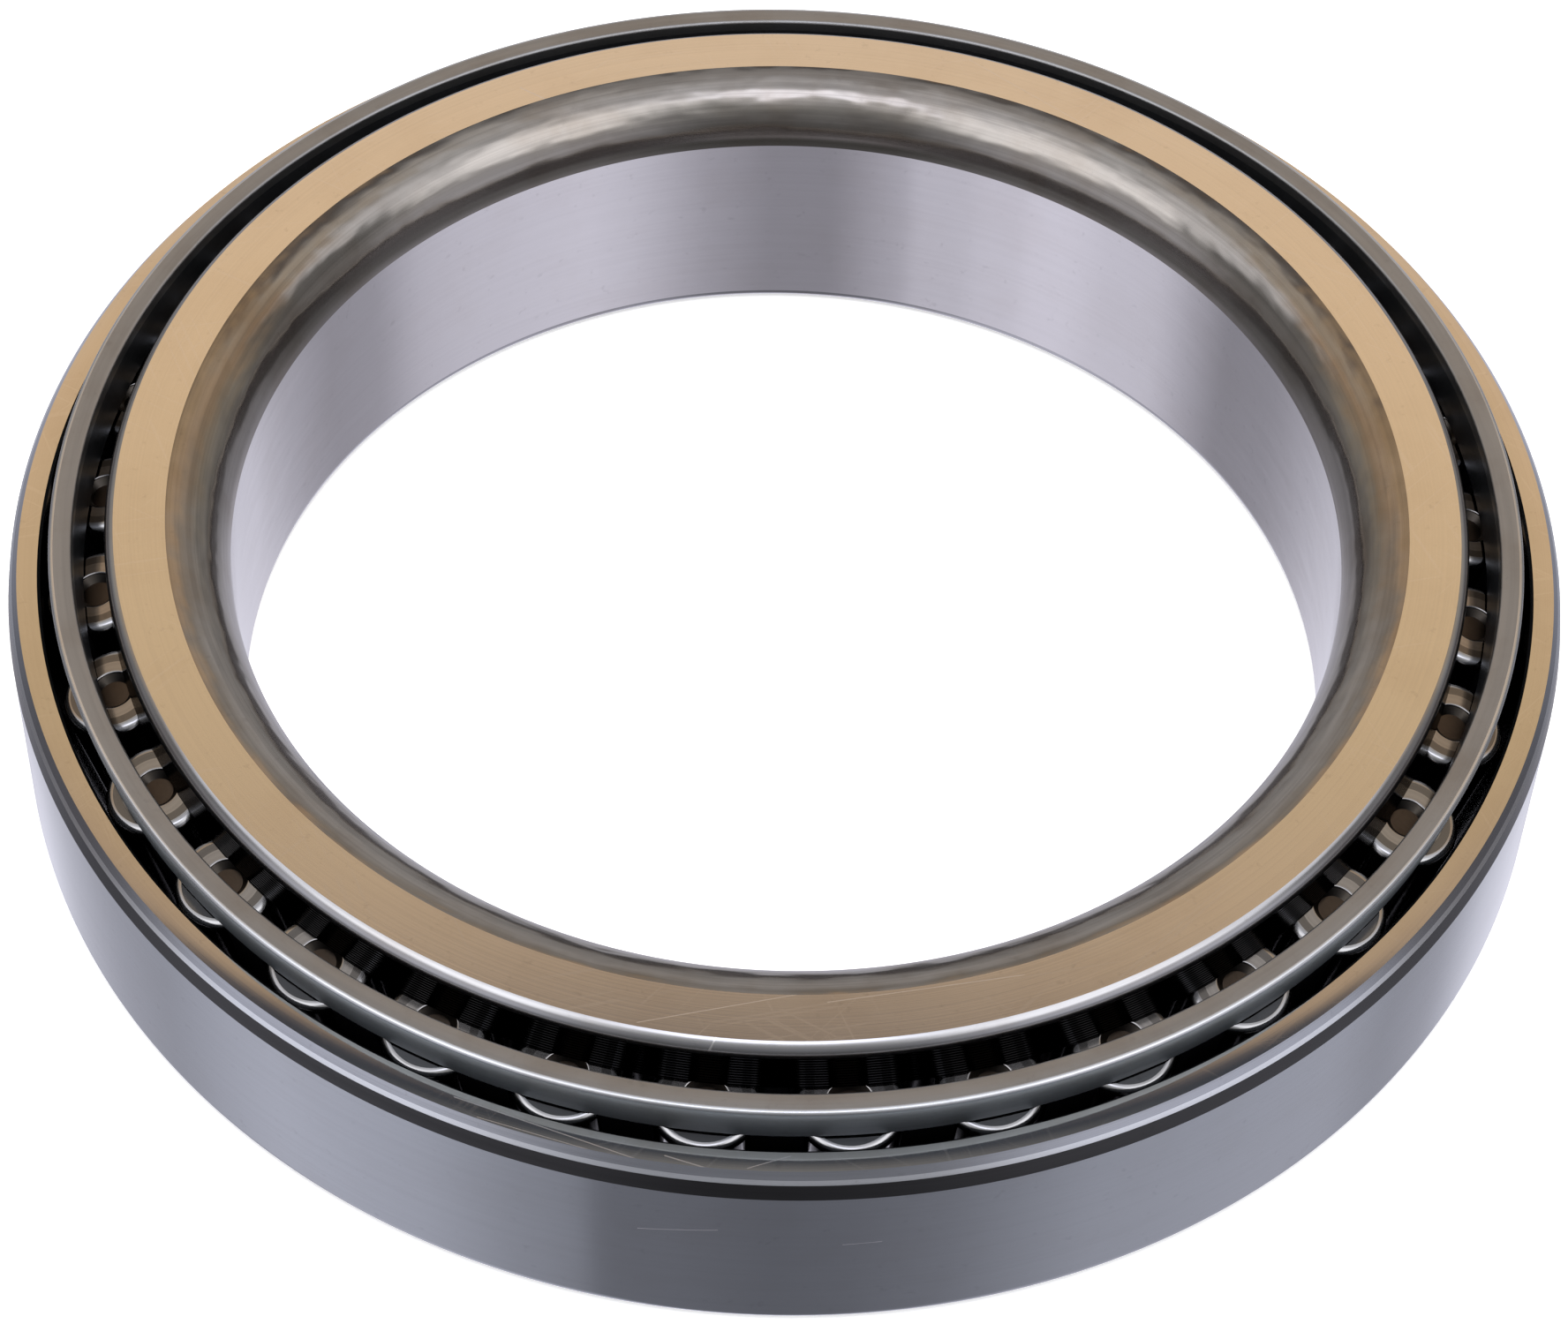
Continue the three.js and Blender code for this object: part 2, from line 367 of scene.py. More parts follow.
def mark(n, point, start, end, width):
    """One straight scratch between two points, in mm."""
    span = Vector(end) - Vector(start)
    arm = n.add("ShaderNodeVectorMath", {0: point, 1: start}, operation="SUBTRACT").outputs[0]
    reach = n.add("ShaderNodeVectorMath", {0: arm, 1: tuple(span / span.length_squared)},
                  operation="DOT_PRODUCT").outputs["Value"]
    nearest = n.add(
        "ShaderNodeVectorMath",
        {0: tuple(span), "Scale": n.math("MULTIPLY", reach, 1.0, clamp=True)},
        operation="SCALE",
    ).outputs[0]
    away = n.add("ShaderNodeVectorMath", {0: arm, 1: nearest}, operation="DISTANCE").outputs["Value"]
    return n.stretch(away, width, width * 0.3)


def steel(name, colour, roughness, grain, depth, seed, radius=45.0, shade=0.12, cloud=0.1,
          scratches=0.0, wave=0.0, wave_between=None, groove=None, marks=(), glance=1.0):
    """Bearing steel. grain is the fineness of its turned or ground lines and depth their height in
    mm; shade is how much they darken it; cloud is the share of slow warm stains; scratches is the
    strength of fine scratches all over, and marks are single ones; wave is the height in mm of slow
    ripples, which grow from nothing to full between the two levels of wave_between; groove is the
    (pitch, depth) of regular tool marks; glance is how well it still mirrors at a very low angle;
    radius is about its distance from the axis in mm, and seed shifts its stains."""
    material = bpy.data.materials.new(name)
    material.use_nodes = True
    n = Nodes(material.node_tree)
    point, ring, across, height = round_coordinates(n, radius)
    lines = streaks(n, ring, across, height, grain)
    shifted = n.add("ShaderNodeMapping", {"Vector": point, "Location": (seed, seed, seed)}).outputs[0]
    clouds = n.noise(shifted, 0.16, 5.0, 0.6)
    spots = n.noise(shifted, 1.3, 3.0, 0.6)
    stained = tuple(c * t for c, t in zip(colour, STAIN_TINT))
    dark = tuple(c * DARK_SHARE for c in colour)
    base = n.mix(n.math("MULTIPLY", n.stretch(clouds, 0.4, 0.75), cloud), colour, stained)
    base = n.mix(n.math("MULTIPLY", n.stretch(lines, 0.35, 0.75), shade), base, dark)
    base = n.mix(n.math("MULTIPLY", n.stretch(spots, 0.62, 0.75), 0.12), base, dark)
    rough = n.math("ADD", roughness - 0.03, n.math("MULTIPLY", lines, 0.06))
    scars = None
    if scratches:
        for k, angle in enumerate(SCRATCH_ANGLES):
            layer = scratch_layer(n, point, seed + 1.3 * k, angle)
            scars = layer if scars is None else n.math("MAXIMUM", scars, layer)
        scars = n.math("MULTIPLY", scars, scratches)
    for start, end, width in marks:
        layer = n.math("MULTIPLY", mark(n, point, start, end, width), 0.75)
        scars = layer if scars is None else n.math("MAXIMUM", scars, layer)
    if scars is not None:
        base = n.mix(scars, base, SCRATCH_COLOUR)
        rough = n.math("ADD", rough, n.math("MULTIPLY", scars, 0.2))
    relief = n.math("MULTIPLY", lines, depth)
    if wave:
        slow = streaks(n, ring, across, height, (0.16, 0.45, 0.45), 2.0, 0.45)
        if wave_between:
            slow = n.math("MULTIPLY", slow, n.stretch(height, *wave_between))
        relief = n.math("ADD", relief, n.math("MULTIPLY", slow, wave))
    if groove:
        pitch, groove_depth = groove
        turn = n.math("SINE", n.math("MULTIPLY", height, 2 * math.pi / pitch))
        relief = n.math("ADD", relief, n.math("MULTIPLY", turn, groove_depth / 2))
    bump = n.add("ShaderNodeBump", {"Height": relief, "Distance": MM, "Strength": 1.0})
    shader = n.add("ShaderNodeBsdfPrincipled", {"Base Color": base, "Roughness": rough,
                                               "Metallic": 1.0, "Normal": bump.outputs[0],
                                               "Specular Tint": (glance, glance, glance, 1.0)})
    output = n.add("ShaderNodeOutputMaterial")
    n.put(output.inputs["Surface"], shader.outputs[0])
    return material


# Single scratches, as (start, end, width) in mm
FACE_MARKS = (
    ((-20.5, 38.2, 20), (-17.8, 36.6, 20), 0.09),
    ((3.5, -42.0, 20), (15.5, -39.4, 20), 0.05),
    ((-8.0, -44.0, 20), (2.0, -41.4, 20), 0.05),
    ((12.0, 43.0, 20), (20.5, 36.4, 20), 0.04),
)
CUP_MARKS = (
    ((-6.0, -50.9, 16), (-3.4, -51.7, 16), 0.07),
    ((-3.4, -51.7, 16), (-3.9, -51.9, 16), 0.07),
    ((-1.0, -51.6, 16), (1.6, -50.6, 16), 0.05),
    ((-19.0, -47.2, 16), (-7.2, -51.4, 16), 0.06),
    ((-17.5, -48.6, 16), (-8.5, -51.3, 16), 0.05),
)
OUTSIDE_MARKS = (
    ((-7.6, -51.95, 9.45), (-5.2, -52.24, 9.9), 0.045),
    ((-5.2, -52.24, 9.9), (-2.7, -52.43, 10.3), 0.05),
    ((5.0, -52.26, 8.9), (7.4, -51.97, 9.0), 0.04),
)
EDGE_MARKS = (
    ((-3.7, -45.7, 19.2), (-3.2, -44.9, 20.0), 0.1),
)

STEEL = {
    "face": steel("ground_face", (0.80, 0.78, 0.74), 0.11, (0.02, 7, 0), 0.0008, cloud=0.12,
                  shade=0.06, scratches=0.2, marks=FACE_MARKS, seed=1.0),
    "cup_face": steel("ground_cup_face", (0.70, 0.675, 0.63), 0.07, (0.02, 7, 0), 0.0006, cloud=0.15,
                      shade=0.06, scratches=0.12, marks=CUP_MARKS, seed=2.0),
    "corner": steel("turned_corner", (0.385, 0.36, 0.335), 0.17, (0.012, 2.5, 2.5), 0.0008, cloud=0.4,
                    shade=0.35, wave=0.2, wave_between=(16.8, 18.6), seed=3.0),
    "bore": steel("ground_bore", (0.73, 0.71, 0.72), 0.12, (0.03, 0, 3), 0.0004, cloud=0.08,
                  shade=0.04, wave=0.02, seed=5.0),
    "edge": steel("worn_edge", (0.52, 0.52, 0.54), 0.18, (0.04, 4, 4), 0.002, cloud=0.3,
                  shade=0.2, wave=0.02, marks=EDGE_MARKS, seed=7.0),
    "flat": steel("shallow_flat", (0.52, 0.54, 0.60), 0.2, (0.03, 4, 4), 0.002, shade=0.2, seed=8.0),
    # painted shade: the rib's outside is near black, where it sits in shade beside the rollers
    "rib": steel("turned_rib_painted_shade", (0.014, 0.014, 0.016), 0.14, (0.01, 4, 6), 0.002,
                 groove=(0.27, 0.03), glance=0.5, seed=9.0),
    # painted shade: the raceways are darkened, as they lie in shade between the rings
    "race": steel("lapped_raceway_painted_shade", (0.20, 0.195, 0.195), 0.12, (0.02, 6, 6), 0.0003, glance=0.4,
                  seed=11.0),
    "outside": steel("ground_outside", (0.44, 0.465, 0.49), 0.13, (0.03, 0, 3), 0.0004, cloud=0.08,
                     shade=0.05, marks=OUTSIDE_MARKS, seed=13.0),
    "black": steel("dark_flat", (0.05, 0.05, 0.05), 0.24, (0.03, 3, 3), 0.002, shade=0.2, seed=15.0),
    # painted highlight: a near-white, bluish line along the cup's corner flat
    "painted_highlight_line": steel("painted_highlight_line", (0.90, 0.93, 1.0), 0.24, (0.03, 4, 4), 0.002, shade=0.15, seed=8.5),
    "cage": steel("pressed_sheet", (0.38, 0.42, 0.46), 0.55, (0.05, 1.5, 1.5), 0.004, cloud=0.3,
                  shade=0.2, wave=0.03, seed=17.0),
    "cage_rim": steel("sheared_rim", (0.41, 0.415, 0.425), 0.42, (0.05, 1.5, 1.5), 0.004, cloud=0.3,
                      shade=0.2, wave=0.03, seed=18.0),
    # worn rim edge, painted brighter than the sheet as a painted highlight
    "cage_edge": steel("worn_and_sheen_rim_edge", (0.70, 0.72, 0.76), 0.27, (0.05, 2, 2), 0.002, cloud=0.2,
                       shade=0.2, wave=0.01, seed=18.5),
    # painted shade: a near-black sheet for the pocket rows and bars, which lie in shade
    "cage_shade": steel("painted_shade_sheet", (0.02, 0.02, 0.025), 0.5, (0.05, 1.5, 1.5), 0.004, cloud=0.3,
                        shade=0.2, glance=0.2, seed=17.5),
    # painted shade: a darker copy of the sheet for its inner wall and the low rows below the pockets
    "cage_inside": steel("inner_sheet_painted_shade", (0.16, 0.17, 0.19), 0.45, (0.05, 1.5, 1.5), 0.004, cloud=0.3,
                         shade=0.2, seed=17.8),
    "roller_end": steel("roller_end", (0.35, 0.34, 0.34), 0.13, (0.02, 5, 0), 0.0008, radius=3.0,
                        shade=0.2, seed=19.0),
    # painted shade: the outer ring of a roller's large end, darkened where the cage's rim shades it
    "end_ring": steel("painted_shade_ring", (0.17, 0.165, 0.165), 0.12, (0.02, 5, 0), 0.0006, radius=3.0,
                      seed=19.5),
    "fillet": steel("roller_fillet", (0.45, 0.45, 0.46), 0.16, (0.02, 3, 3), 0.0008, radius=3.0,
                    shade=0.2, seed=20.0),
    "roller_side": steel("roller_side", (0.50, 0.50, 0.51), 0.10, (0.02, 0, 6), 0.0008, radius=3.0,
                         seed=21.0),
    "recess": steel("roller_recess", (0.08, 0.07, 0.06), 0.3, (0.3, 5, 3), 0.004, radius=1.5,
                    seed=23.0),
    "recess_floor": steel("recess_floor", (0.10, 0.08, 0.065), 0.35, (0.5, 4, 3), 0.006, radius=1.5,
                          cloud=0.5, seed=25.0),
}


# ---------------------------------------------------------------- rings


def build_cup():
    """The outer ring: a corner of two flats above, a small round one below, the raceway inside.
    Its ground face falls off by crown towards the corner, and the flat carries a painted highlight, a
    near-white line along its edge."""
    zones = [STEEL[k] for k in ("cup_face", "flat", "black", "outside", "race", "edge", "painted_highlight_line")]
    face, flat, black, outside, race, edge, painted_highlight_line = range(7)
    flat_in, flat_down = 0.55, 0.75
    side_in, side_down = 0.2, 2.05
    edge_r = OUTSIDE_R - side_in
    face_r = edge_r - flat_in
    lip = 0.16
    crown = 0.02
    fall = ((0, 1.0), (0.35, 0.4), (0.75, 0.1), (1.1, 0.0))
    highlight_share = 0.36
    back_round = 1.05
    highlight_start = (edge_r - highlight_share * flat_in, CUP_TOP - flat_down + highlight_share * (flat_down - crown))
    top_edge = (race_r(CUP_TOP, 1) + lip, CUP_TOP)
    low_edge = (race_r(0, 1) + lip, 0)
    inner_top = (race_r(CUP_TOP - lip, 1), CUP_TOP - lip)
    inner_low = (race_r(lip, 1), lip)
    runs = [
        (outside, arc((OUTSIDE_R - back_round, back_round), (back_round, back_round), -90, 0, 9)),
        (outside, [(OUTSIDE_R, back_round), (OUTSIDE_R, CUP_TOP - side_down)]),
        (black, [(OUTSIDE_R, CUP_TOP - side_down), (edge_r, CUP_TOP - flat_down)]),
        # the flat's outer share is painted near white, a painted highlight
        (painted_highlight_line, [(edge_r, CUP_TOP - flat_down), highlight_start]),
        (flat, [highlight_start, (face_r, CUP_TOP - crown)]),
        (face, [(face_r - inwards, CUP_TOP - share * crown) for inwards, share in fall] + [top_edge]),
        (black, [top_edge, inner_top]),
        (race, [inner_top, inner_low]),
        (edge, [inner_low, low_edge]),
        (face, [low_edge, (OUTSIDE_R - back_round, 0)]),
    ]
    return lathe(CUP, runs, RING_STEPS, zones)


def build_cone():
    """The inner ring: its two ribs, the raceway between them and the large corner at the bore."""
    zones = [STEEL[k] for k in ("face", "edge", "corner", "bore", "rib", "race")]
    face, edge, corner, bore, rib, race = range(6)
    fillet = 4.75
    crease, low_crease = 98, 173  # degrees on the fillet's circle where it meets face and bore
    front = 0.9
    rib_round = 1.04
    rib_crease = 68  # degrees on the rib's round where it meets the face
    groove, undercut = 0.28, 0.9
    small_rib_r, small_round = 41.5, 0.35
    rib_face = LARGE_END + RIB_GAP
    small_face = SMALL_END - SMALL_RIB_GAP
    foot = in_plane(rib_face, -rib_face * HALF_SLOPE)[1]
    small_foot = in_plane(small_face, -small_face * HALF_SLOPE)[1]
    foot_r = race_r(foot, -1) - groove
    small_foot_r = race_r(small_foot, -1) - groove
    rib_edge = arc((RIB_R - rib_round, 0), (rib_round, rib_round), 0, rib_crease, 8)
    rib_edge = [(r, z + CONE_TOP - rib_edge[-1][1]) for r, z in rib_edge]
    back_corner = arc((0, 0), (fillet, fillet), crease, low_crease, 20)
    last_r, first_z = back_corner[-1][0], back_corner[0][1]
    back_corner = [(BORE_R + r - last_r, CONE_TOP + z - first_z) for r, z in back_corner]
    small_top = square_z(small_face, small_rib_r)
    low_race = (race_r(small_foot + undercut, -1), small_foot + undercut)
    top_race = (race_r(foot - undercut, -1), foot - undercut)
    rib_inner_lip = (RIB_R - 0.15, square_z(rib_face, RIB_R - 0.15))
    rib_outer_lip = (RIB_R, square_z(rib_face, RIB_R) + 0.12)
    runs = [
        (edge, arc((BORE_R + front, front), (front, front), 180, 270, 6)),
        (face, [(BORE_R + front, 0), (small_rib_r - small_round, 0)]),
        (edge, arc((small_rib_r - small_round, small_round), (small_round, small_round), -90, 0, 5)),
        (rib, [(small_rib_r, small_round), (small_rib_r, small_top)]),
        (rib, [(small_rib_r, small_top), (small_foot_r, square_z(small_face, small_foot_r))]),
        (rib, [(small_foot_r, square_z(small_face, small_foot_r)), low_race]),
        (race, [low_race, top_race]),
        (rib, [top_race, (foot_r, square_z(rib_face, foot_r))]),
        (rib, [(foot_r, square_z(rib_face, foot_r)), rib_inner_lip]),
        (edge, [rib_inner_lip, rib_outer_lip]),
        (rib, [rib_outer_lip, rib_edge[0]]),
        (edge, rib_edge),
        (face, [rib_edge[-1], back_corner[0]]),
        (corner, back_corner),
        (bore, [back_corner[-1], (BORE_R, front)]),
    ]
    return lathe(CONE, runs, RING_STEPS, zones)


def build_roller():
    """One roller in its own frame, +Z towards its large end, with the origin at the apex."""
    names = ("roller_end", "roller_side", "recess", "recess_floor", "fillet", "end_ring")
    zones = [STEEL[k] for k in names]
    end, side, recess, recess_floor, fillet, end_ring = range(6)
    relief = 0.01
    large_r = LARGE_END * HALF_SLOPE - relief
    small_r = SMALL_END * HALF_SLOPE
    chamfer, small_chamfer = 0.6, 0.35
    mouth, floor, depth = 1.42, 1.0, 0.5
    ring_r = 2.3
    lip = 0.12
    runs = [
        (end, [(0, SMALL_END), (small_r - small_chamfer, SMALL_END)]),
        (end, arc((small_r - small_chamfer, SMALL_END + small_chamfer),
                  (small_chamfer, small_chamfer), -90, 0, 6)),
        (side, [(small_r, SMALL_END + small_chamfer), (large_r, LARGE_END - chamfer)]),
        (fillet, arc((large_r - chamfer, LARGE_END - chamfer), (chamfer, chamfer), 0, 90, 8)),
        # the outer ring of the large end carries painted shade
        (end_ring, [(large_r - chamfer, LARGE_END), (ring_r, LARGE_END)]),
        (end, [(ring_r, LARGE_END), (mouth + lip, LARGE_END)]),
        (end, arc((mouth + lip, LARGE_END - lip), (lip, lip), 90, 180, 4)),
        (recess, [(mouth, LARGE_END - lip), (floor, LARGE_END - depth)]),
        (recess_floor, [(floor, LARGE_END - depth), (0, LARGE_END - depth)]),
    ]
    return lathe("roller", runs, ROLLER_STEPS, zones, closed=False)


# ---------------------------------------------------------------- cage


def rim_edge(surface, side, size):
    """The rounded edge of the level rim, on the sheet's outer (side 1) or inner (side -1) surface."""
    steps = 6
    out = surface - side * size
    z = CAGE_TOP + RIM_LIP - size
    along = (z - APEX_Z + out * math.sin(TILT)) / math.cos(TILT)
    r = in_plane(along, out)[0]
    points = []
    for i in range(steps + 1):
        t = (math.pi / 2 + side * TILT) * i / steps
        points.append((r + side * size * math.sin(t), z + size * math.cos(t)))
    return points


def cage_profile():
    """(outer point, inner point, kind) rows of the sheet, from the rim down to the flange's edge.
    The kinds are round (the part of the rim's edge that is worn and painted brighter as a painted
    highlight), turn (the rest of that edge), rim (the wall above the pockets), pocket (the level of the
    pockets and bars) and low (below them)."""
    rim_z = CAGE_TOP - 0.2
    rim, wall_out = to_plane(CAGE_TOP_R, rim_z)

    def wall(along, kind):
        return in_plane(along, wall_out), in_plane(along, wall_out - SHEET), kind

    pocket_top = LARGE_END + POCKET_END_GAP
    pocket_low = SMALL_END - POCKET_END_GAP
    bend_z = CAGE_LOW + BEND
    bend_out = CAGE_TOP_R - (rim_z - bend_z) * math.tan(TILT)
    bend_r = bend_out - BEND / math.cos(TILT)
    steps = 8
    outer_edge = rim_edge(wall_out, 1, RIM_OUTER_ROUND)
    inner_edge = rim_edge(wall_out - RIM_SHEET, -1, RIM_INNER_ROUND)
    # rows of the outer rim edge that are worn and painted brighter, as a painted highlight
    worn_sheen_rows = 4
    rows = [(*pair, "round" if i < worn_sheen_rows else "turn")
            for i, pair in enumerate(zip(outer_edge, inner_edge))]
    rows += [wall(rim - down, "rim") for down in (0.8, 1.3)]
    for i in range(steps):
        rows.append(wall(pocket_top + (pocket_low - pocket_top) * i / steps, "pocket"))
    rows.append(wall(pocket_low, "low"))
    bend_steps = 6
    for i in range(1, bend_steps):
        t = -TILT - (math.pi / 2 - TILT) * i / bend_steps
        rows.append((
            (bend_r + BEND * math.cos(t), bend_z + BEND * math.sin(t)),
            (bend_r + (BEND - SHEET) * math.cos(t), bend_z + (BEND - SHEET) * math.sin(t)),
            "low",
        ))
    rows.append(((bend_r, CAGE_LOW), (bend_r, CAGE_LOW + SHEET), "low"))
    rows.append(((FLANGE_R, CAGE_LOW), (FLANGE_R, CAGE_LOW + SHEET), "low"))
    return rows, wall_out


def pocket_half_angle(out, wall_out):
    """Half the angle round the bearing that a pocket spans at this distance from the roller axis.
    The pocket's sides lean in over the roller, parallel to its surface at the middle of the sheet."""
    middle = wall_out - SHEET / 2
    roller_r = LARGE_END * HALF_SLOPE
    beside = math.sqrt(roller_r ** 2 - middle ** 2)
    lean = middle / beside
    half = beside + POCKET_SIDE_GAP * math.hypot(1, lean) - lean * (out - middle)
    return math.atan(half / in_plane(LARGE_END, out)[0])


def build_cage():
    """The pressed cage: a conical sheet with one leaning-sided pocket for each roller, and a flange
    turned inwards below the rollers."""
    rows, wall_out = cage_profile()
    count = len(ROLLERS)
    pitch = 2 * math.pi / count
    start = math.atan2(FIRST["pos_m"][1], FIRST["pos_m"][0])
    half_out = pocket_half_angle(wall_out, wall_out)
    half_in = pocket_half_angle(wall_out - SHEET, wall_out)
    pocket_steps, bar_steps = 5, 3
    columns = []
    for i in range(count):
        centre = start + i * pitch
        for j in range(pocket_steps):
            f = -1 + 2 * j / pocket_steps
            columns.append((centre + f * half_out, centre + f * half_in, True))
        for j in range(bar_steps):
            f = j / bar_steps
            columns.append((centre + half_out + f * (pitch - 2 * half_out),
                            centre + half_in + f * (pitch - 2 * half_in), False))
    bm = bmesh.new()
    rng = random.Random(4)
    wobble = [(rng.uniform(0, 6.28), rng.uniform(0.004, 0.01)) for _ in range(6)]

    def unround(t):
        """How much the pressed rim is out of round at this angle, in mm."""
        return sum(a * math.sin((k + 2) * t * 2 + p) for k, (p, a) in enumerate(wobble))

    def grid(side):
        table = []
        for row in rows:
            level_r, z = row[side]
            line = []
            for column in columns:
                t = column[side]
                r = level_r + (unround(t) if row[2] in ("round", "turn") else 0.0)
                line.append(bm.verts.new((r * math.cos(t) * MM, r * math.sin(t) * MM, z * MM)))
            table.append(line)
        return table

    outside, inside = grid(0), grid(1)
    total = len(columns)

    def hole(k, j):
        return rows[k][2] == "pocket" and columns[j][2]

    for k in range(len(rows) - 1):
        for j in range(total):
            m = (j + 1) % total
            if hole(k, j):
                if not hole(k - 1, j):
                    bm.faces.new((outside[k][j], outside[k][m], inside[k][m], inside[k][j]))
                if not hole(k + 1, j):
                    bm.faces.new((outside[k + 1][j], inside[k + 1][j],
                                  inside[k + 1][m], outside[k + 1][m]))
                if not hole(k, j - 1):
                    bm.faces.new((outside[k][j], inside[k][j], inside[k + 1][j], outside[k + 1][j]))
                if not hole(k, m):
                    bm.faces.new((outside[k][m], outside[k + 1][m], inside[k + 1][m], inside[k][m]))
                continue
            outer = bm.faces.new((outside[k][j], outside[k + 1][j], outside[k + 1][m], outside[k][m]))
            inner = bm.faces.new((inside[k][j], inside[k][m], inside[k + 1][m], inside[k + 1][j]))
            outer.material_index = CAGE_ZONES.index(CAGE_OUTSIDE[rows[k][2]])
            inner.material_index = CAGE_ZONES.index(CAGE_INSIDE[rows[k][2]])
    for j in range(total):
        m = (j + 1) % total
        rim = bm.faces.new((outside[0][j], outside[0][m], inside[0][m], inside[0][j]))
        rim.material_index = CAGE_ZONES.index("cage_rim")
        bm.faces.new((outside[-1][j], inside[-1][j], inside[-1][m], outside[-1][m]))
    for face in bm.faces:
        face.smooth = True
    return finish_mesh(CAGE, bm, [STEEL[k] for k in CAGE_ZONES])


def soften(piece, width, segments):
    """Rounds a piece's sharp edges."""
    bevel = piece.modifiers.new("edges", "BEVEL")
    bevel.width = width * MM
    bevel.segments = segments
    bevel.limit_method = "ANGLE"
    bevel.angle_limit = BEVEL_ANGLE
    bevel.harden_normals = True


place("cup", build_cup(), "cup", CUP)
place("cone", build_cone(), "cone", CONE)
cage_piece = place("pressed_cage", build_cage(), "cage", CAGE)
soften(cage_piece, 0.2, 3)

roller_mesh = build_roller()
for node in ROLLERS:
    joint = JOINTS[node]
    spin = Vector(joint["axis"]).normalized()
    turn = Vector((0, 0, 1)).rotation_difference(spin).to_matrix().to_4x4()
    matrix = Matrix.Translation((0, 0, APEX_Z * MM)) @ turn
    place("tapered_" + node, roller_mesh, node, node, matrix)


# ---------------------------------------------------------------- studio


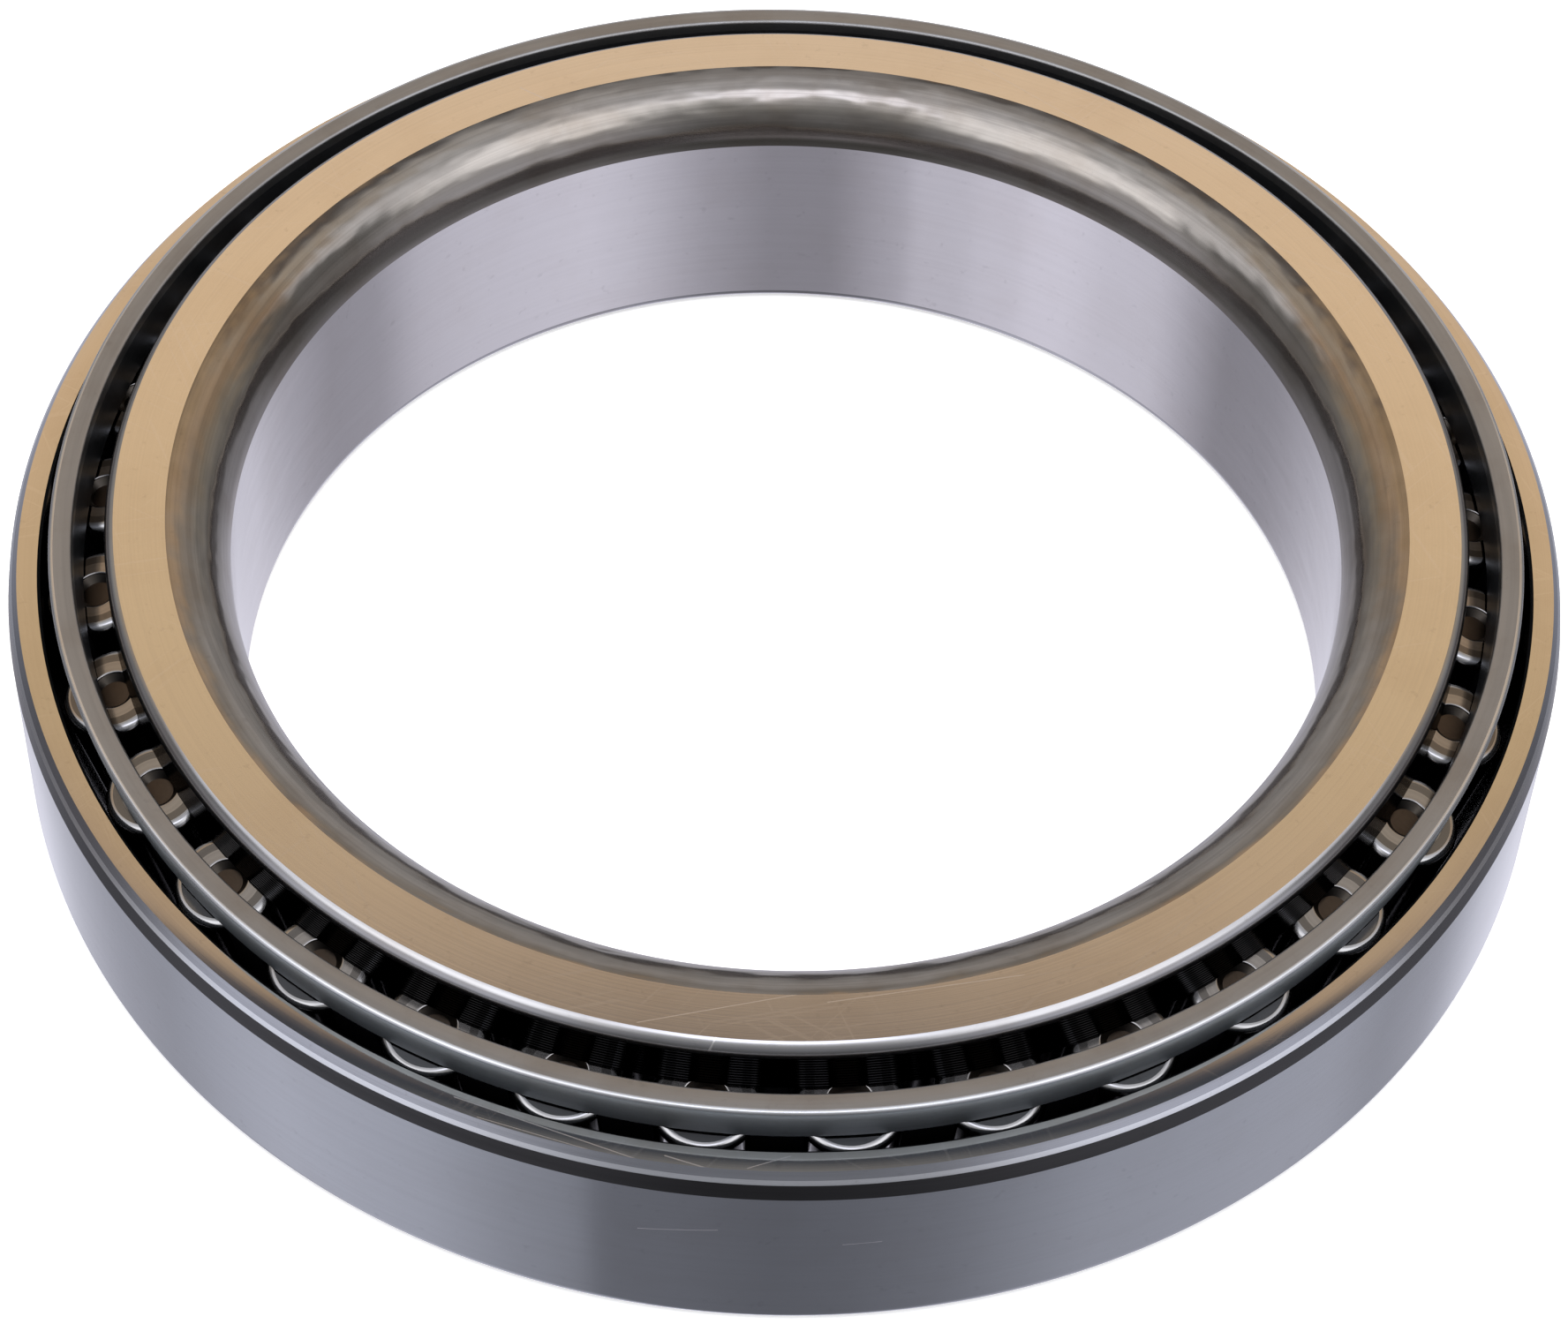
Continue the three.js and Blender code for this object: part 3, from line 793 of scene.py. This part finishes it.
def build_world():
    """A studio that the steel mirrors: a warm board high at the back, two soft boxes over the
    camera's shoulders, a dark front under one bright strip, and a table of uneven brightness below.
    Ramps hold (elevation or azimuth in degrees, brightness) stops."""
    world = bpy.data.worlds.new("studio")
    bpy.context.scene.world = world
    world.use_nodes = True
    n = Nodes(world.node_tree)
    way = n.add("ShaderNodeTexCoord").outputs["Generated"]
    x, y, z = n.add("ShaderNodeSeparateXYZ", {0: way}).outputs[:3]
    elevation = n.math("MULTIPLY", n.math("ARCSINE", z), 180 / math.pi)
    azimuth = n.math("MULTIPLY", n.math("ARCTAN2", y, x), 180 / math.pi)
    flat = n.add("ShaderNodeVectorMath", {0: n.vector(x, y, 0.0)}, operation="NORMALIZE").outputs[0]
    backwards = n.add("ShaderNodeVectorMath", {0: flat, 1: (0, 1, 0)}, operation="DOT_PRODUCT")
    from_back = n.math("MULTIPLY", n.math("ARCCOSINE", backwards.outputs["Value"]), 180 / math.pi)

    def by_elevation(*pairs):
        at = n.math("MULTIPLY_ADD", elevation, 1 / 180, 0.5)
        return n.ramp(at, [((degrees + 90) / 180, colour) for degrees, colour in pairs])

    def by_azimuth(*pairs):
        at = n.math("MULTIPLY_ADD", azimuth, 1 / 360, 0.5)
        stops = [((degrees + 180) / 360, (0.98 * level, 0.97 * level, 1.10 * level))
                 for degrees, level in pairs]
        return n.ramp(at, stops)

    back = by_elevation(
        (-20, (0.60, 0.60, 0.66)), (-3, (0.40, 0.40, 0.42)), (8, (0.45, 0.44, 0.44)),
        (20, (0.62, 0.60, 0.60)), (34, (0.44, 0.41, 0.38)), (38.5, (0.60, 0.50, 0.40)),
        (41, (0.81, 0.61, 0.44)), (45, (0.80, 0.57, 0.36)), (50, (0.66, 0.48, 0.29)),
        (54.2, (0.52, 0.385, 0.275)), (55.6, (0.10, 0.10, 0.12)), (57.5, (0.04, 0.05, 0.07)),
        (60, (0.16, 0.16, 0.17)), (64, (0.46, 0.45, 0.45)), (78, (0.54, 0.52, 0.52)),
        (90, (0.56, 0.56, 0.58)),
    )
    side = by_elevation(
        (-20, (0.38, 0.38, 0.42)), (-10, (0.15, 0.15, 0.16)), (-3, (0.11, 0.10, 0.10)),
        (9, (0.32, 0.31, 0.30)), (21, (0.46, 0.42, 0.36)), (31, (0.54, 0.42, 0.30)),
        (42, (0.68, 0.48, 0.31)), (52, (0.72, 0.62, 0.50)), (62, (0.70, 0.66, 0.62)),
        (76, (0.75, 0.74, 0.75)), (90, (0.9, 0.9, 0.95)),
    )
    flank = by_elevation(
        (-20, (0.20, 0.20, 0.21)), (-3, (0.11, 0.10, 0.10)), (10, (0.30, 0.29, 0.29)),
        (33, (0.22, 0.22, 0.22)), (42, (1.1, 1.1, 1.15)), (52, (1.2, 1.2, 1.25)),
        (64, (0.8, 0.8, 0.82)), (90, (0.9, 0.9, 0.95)),
    )
    quarter = by_elevation(
        (-20, (0.20, 0.20, 0.21)), (-6, (0.30, 0.30, 0.32)), (6, (0.72, 0.72, 0.78)),
        (28, (0.66, 0.65, 0.67)), (40, (1.9, 1.9, 1.95)), (56, (1.9, 1.9, 1.95)),
        (70, (1.1, 1.1, 1.15)), (90, (0.9, 0.9, 0.95)),
    )
    front = by_elevation(
        (-35, (0.07, 0.07, 0.07)), (0, (0.14, 0.14, 0.14)), (17, (0.24, 0.24, 0.25)),
        (35, (0.36, 0.36, 0.36)), (45, (0.48, 0.48, 0.48)), (54, (0.74, 0.74, 0.76)),
        (59, (1.2, 1.2, 1.25)), (63, (2.6, 2.65, 2.95)), (71, (2.6, 2.65, 2.95)),
        (76, (1.0, 1.0, 1.05)), (82, (0.6, 0.6, 0.62)), (90, (0.56, 0.56, 0.58)),
    )
    above = n.mix(n.stretch(from_back, 22, 45), back, side)
    above = n.mix(n.stretch(from_back, 58, 76), above, flank)
    above = n.mix(n.stretch(from_back, 92, 112), above, quarter)
    above = n.mix(n.stretch(from_back, 138, 165), above, front)
    table_far = by_azimuth(
        (-180, 0.52), (-172, 0.70), (-158, 0.74), (-148, 0.83), (-139.5, 0.82), (-137.5, 0.76),
        (-129, 0.74), (-125, 0.67), (-114.2, 0.655), (-112.2, 0.53), (-106, 0.46), (-97, 0.32),
        (-84, 0.32), (-70, 0.45), (-55, 0.70), (-45, 0.78), (-15, 0.68), (-4, 0.60), (8, 0.39),
        (24, 0.36), (42, 0.47), (62, 0.65), (115, 0.56), (131, 0.47), (150, 0.33), (168, 0.30),
        (180, 0.52),
    )
    table_near = by_azimuth(
        (-180, 0.72), (-172, 0.80), (-146, 0.68), (-130, 0.49), (-118.6, 0.41), (-116.4, 0.26),
        (-103, 0.25), (-88, 0.215), (-76, 0.235), (-60, 0.31), (-36, 0.55), (-6, 0.62),
        (8, 0.62), (20, 0.47), (34, 0.54), (48, 0.9), (62, 1.0), (120, 1.0), (135, 0.72),
        (150, 0.55), (164, 0.51), (180, 0.72),
    )
    below = n.mix(n.stretch(elevation, -46, -54), table_far, table_near)
    colour = n.mix(n.stretch(elevation, -20, -41), above, below)
    background = n.add("ShaderNodeBackground", {"Color": colour, "Strength": 1.0})
    output = n.add("ShaderNodeOutputWorld")
    n.put(output.inputs["Surface"], background.outputs[0])


def build_floor():
    """A plain pale floor. The steel mirrors the studio below it instead of the floor itself."""
    size = 4.0
    sunk = 0.02 * MM  # just clear of the bearing's foot
    bm = bmesh.new()
    corners = [bm.verts.new((x * size, y * size, 0)) for x, y in ((-1, -1), (1, -1), (1, 1), (-1, 1))]
    bm.faces.new(corners)
    mesh = bpy.data.meshes.new("floor")
    bm.to_mesh(mesh)
    bm.free()
    floor = bpy.data.objects.new("floor", mesh)
    bpy.context.scene.collection.objects.link(floor)
    floor.location.z = -sunk
    material = bpy.data.materials.new("floor")
    material.use_nodes = True
    n = Nodes(material.node_tree)
    paint = n.add("ShaderNodeBsdfDiffuse", {"Color": (0.9, 0.9, 0.9, 1)})
    glow = n.add("ShaderNodeEmission", {"Color": (1, 1, 1, 1), "Strength": 0.5})
    both = n.add("ShaderNodeAddShader", {0: paint.outputs[0], 1: glow.outputs[0]})
    output = n.add("ShaderNodeOutputMaterial")
    n.put(output.inputs["Surface"], both.outputs[0])
    mesh.materials.append(material)
    floor.visible_glossy = False


def add_lamp(name, size, power, position):
    """A soft square lamp that shines at the bearing."""
    target = Vector((0, 0, 0.01))
    data = bpy.data.lights.new(name, "AREA")
    data.size = size
    data.energy = power
    lamp = bpy.data.objects.new(name, data)
    bpy.context.scene.collection.objects.link(lamp)
    lamp.location = position
    away = lamp.location - target
    lamp.rotation_euler = away.to_track_quat("Z", "Y").to_euler()
    lamp.visible_glossy = False


def build_camera():
    """A long lens from the front, 50 degrees above the floor, turned 2 degrees about its own axis."""
    elevation = math.radians(50.14)
    roll = math.radians(2.088)
    distance = 0.311
    target = Vector((0.0001, 0, 0.00189))
    ahead = Vector((0, math.cos(elevation), -math.sin(elevation)))
    level = Vector((1, 0, 0))
    above = Vector((0, math.sin(elevation), math.cos(elevation)))
    right = math.cos(roll) * level + math.sin(roll) * above
    up = -math.sin(roll) * level + math.cos(roll) * above
    data = bpy.data.cameras.new("camera")
    data.sensor_width = 36.0
    data.sensor_fit = "HORIZONTAL"
    data.lens = 101.8
    data.clip_start = 0.01
    camera = bpy.data.objects.new("camera", data)
    bpy.context.scene.collection.objects.link(camera)
    rotation = Matrix((right, up, -ahead)).transposed().to_4x4()
    camera.matrix_world = Matrix.Translation(target - ahead * distance) @ rotation
    bpy.context.scene.camera = camera


build_world()
build_floor()
add_lamp("overhead", 0.5, 4.0, (0.0, -0.1, 0.8))
build_camera()
bpy.context.scene.view_settings.view_transform = "Standard"

bpy.context.view_layer.update()
